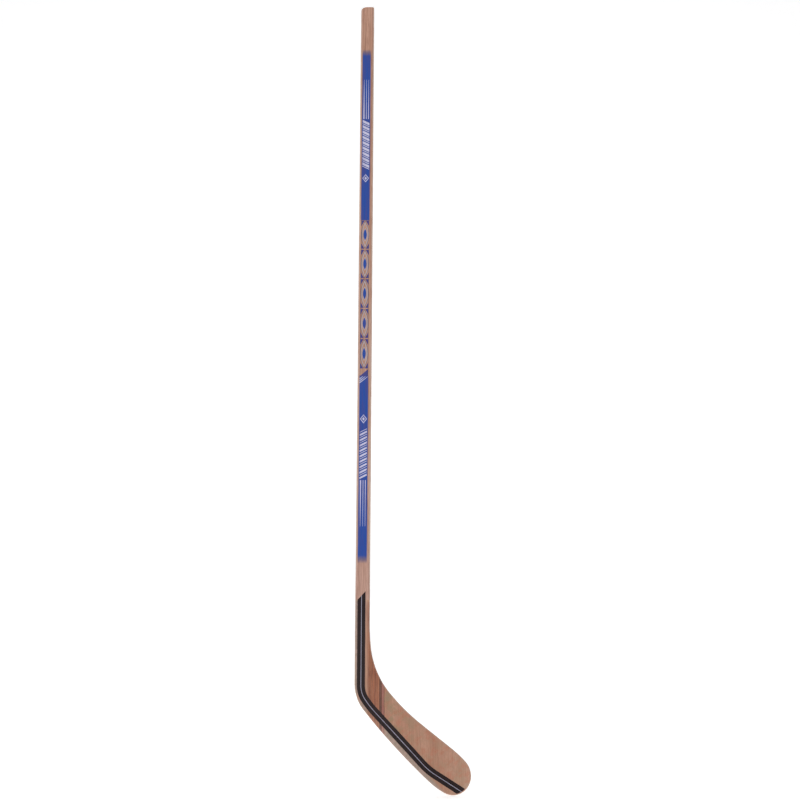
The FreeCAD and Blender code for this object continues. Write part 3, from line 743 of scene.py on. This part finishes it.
def slanted_edge():
    """Slanted white bars that finish the lower blue panel at its upper end."""
    bars = []
    left = -PRINT_HALF
    for n in range(EDGE_BARS):
        low = LOWER_TOP - WEDGE + n * EDGE_PITCH
        far = LOWER_TOP - EDGE_DROP + n * EDGE_FAR_PITCH
        right = PRINT_HALF - EDGE_MARGIN - n * EDGE_STEP_BACK
        bars.append([(left, low), (right, far), (right, far + EDGE_THIN), (left, low + EDGE_WIDE)])
    return bars


def print_motifs():
    upper = panel_motifs(UPPER_TOP, -1, **UPPER_BARS)
    lower = panel_motifs(LOWER_FOOT, 1, **LOWER_BARS)
    pale_rings, dark_rings, cores, triangles = lens_chain()
    sides = (("front", -1, FACE_FRONT, PRINT_LOW.y), ("back", 1, FACE_BACK, PRINT_BACK))
    for side, outward, wood, film in sides:
        plates(f"motif_upper_{side}", *upper, film, outward, WHITE, "print_white")
        plates(f"motif_lower_{side}", *lower, film, outward, WHITE, "print_white")
        plates(f"motif_edge_{side}", slanted_edge(), [], film, outward, WHITE, "print_white")
        plates(f"lens_chalk_{side}", [], pale_rings, wood, outward, CHALK, "print_white")
        plates(f"lens_outline_{side}", side_lines(), dark_rings, wood, outward, LINE, "print_black")
        plates(f"lens_core_{side}", cores, [], wood, outward, BLUE, "print_blue")
        plates(f"lens_corner_{side}", triangles, [], wood, outward, ACCENT, "print_blue")


print_motifs()


# --- stage, camera and light ---
CAMERA_PITCH = math.radians(11.877)
CAMERA_ROLL = math.radians(0.09)
CAMERA_LENS = 46.85
CAMERA_SENSOR = 36
CAMERA_CLIP = (0.05, 60)
CAMERA_AIM = Vector((0.0749, FACE_FRONT, HEEL_Z + 0.6109))
CAMERA_REACH = 2.180


def make_camera():
    camera = bpy.data.objects.new("camera", bpy.data.cameras.new("camera"))
    bpy.context.scene.collection.objects.link(camera)
    camera.data.lens = CAMERA_LENS
    camera.data.sensor_width = CAMERA_SENSOR
    camera.data.clip_start, camera.data.clip_end = CAMERA_CLIP
    ahead = Vector((0, math.cos(CAMERA_PITCH), math.sin(CAMERA_PITCH)))
    camera.location = CAMERA_AIM - ahead * CAMERA_REACH
    level = ahead.to_track_quat("-Z", "Y").to_matrix().to_4x4()
    camera.rotation_euler = (level @ Matrix.Rotation(CAMERA_ROLL, 4, "Z")).to_euler()
    bpy.context.scene.camera = camera


# soft lights: name, place, width, height and power
LIGHTS = (
    ("key_left", (-2.2, -2.4, HEEL_Z + 2.0), 1.6, 2.6, 38),
    ("fill_right", (2.6, -2.2, HEEL_Z + 1.2), 1.8, 2.4, 14),
    ("top_back", (0.0, 1.2, HEEL_Z + 3.4), 3.0, 2.0, 20),
)
LIGHTS_AIM = Vector((0.07, 0, HEEL_Z + 0.66))


def make_lights():
    for name, place, width, height, power in LIGHTS:
        light = bpy.data.lights.new(name, "AREA")
        light.shape = "RECTANGLE"
        light.size, light.size_y, light.energy = width, height, power
        lamp = bpy.data.objects.new(name, light)
        bpy.context.scene.collection.objects.link(lamp)
        lamp.location = place
        lamp.rotation_euler = (LIGHTS_AIM - Vector(place)).to_track_quat("-Z", "Y").to_euler()


FLOOR_Z = CAD_BOX[0].z - 0.0005
FLOOR_FRONT, FLOOR_DEPTH, FLOOR_SIDE = -9.0, 2.6, 9.0
SWEEP_BEND, SWEEP_STEPS = 1.6, 24
WALL_TOP = FLOOR_Z + 5.5
SPECK = (60, 60, 60)
PAPER_GLOW = 0.58


def make_stage():
    """A pale floor that sweeps up into a pale wall behind, in one sheet."""
    profile = [(FLOOR_FRONT, FLOOR_Z)]
    for step in range(SWEEP_STEPS + 1):
        angle = math.pi / 2 * step / SWEEP_STEPS
        rise = SWEEP_BEND * (1 - math.cos(angle))
        profile.append((FLOOR_DEPTH + SWEEP_BEND * math.sin(angle), FLOOR_Z + rise))
    profile.append((FLOOR_DEPTH + SWEEP_BEND, WALL_TOP))
    mesh = bmesh.new()
    left, right = ([mesh.verts.new((x, y, z)) for y, z in profile] for x in (-FLOOR_SIDE, FLOOR_SIDE))
    for n in range(len(profile) - 1):
        face = mesh.faces.new((left[n], right[n], right[n + 1], left[n + 1]))
        face.smooth = True
    nodes = Nodes("studio_paper")
    speck = nodes.noise(nodes.place(), SPECK)
    tone = nodes.tint(rgb(246, 246, 246), rgb(236, 236, 237), speck, 0.15)
    paper = nodes.finish(tone, roughness=0.9, specular=0.1, glow=PAPER_GLOW)
    new_object("studio_sweep", mesh, paper)


# the white surround's strength as a light, in reflections and to the camera
SKY_LIGHT, SKY_MIRRORED, SKY_SEEN = 0.26, 0.46, 1.0


def make_sky():
    world = bpy.data.worlds.new("studio")
    bpy.context.scene.world = world
    world.use_nodes = True
    tree = world.node_tree
    ray = tree.nodes.new("ShaderNodeLightPath")
    seen = tree.nodes.new("ShaderNodeMath")
    seen.operation = "MULTIPLY_ADD"
    seen.inputs[1].default_value = SKY_SEEN - SKY_LIGHT
    seen.inputs[2].default_value = SKY_LIGHT
    total = tree.nodes.new("ShaderNodeMath")
    total.operation = "MULTIPLY_ADD"
    total.inputs[1].default_value = SKY_MIRRORED - SKY_LIGHT
    sky = tree.nodes["Background"]
    sky.inputs["Color"].default_value = (1, 1, 1, 1)
    tree.links.new(ray.outputs["Is Camera Ray"], seen.inputs[0])
    tree.links.new(ray.outputs["Is Glossy Ray"], total.inputs[0])
    tree.links.new(seen.outputs[0], total.inputs[2])
    tree.links.new(total.outputs[0], sky.inputs["Strength"])


make_camera()
make_stage()
make_lights()
make_sky()
bpy.context.scene.view_settings.view_transform = "Standard"
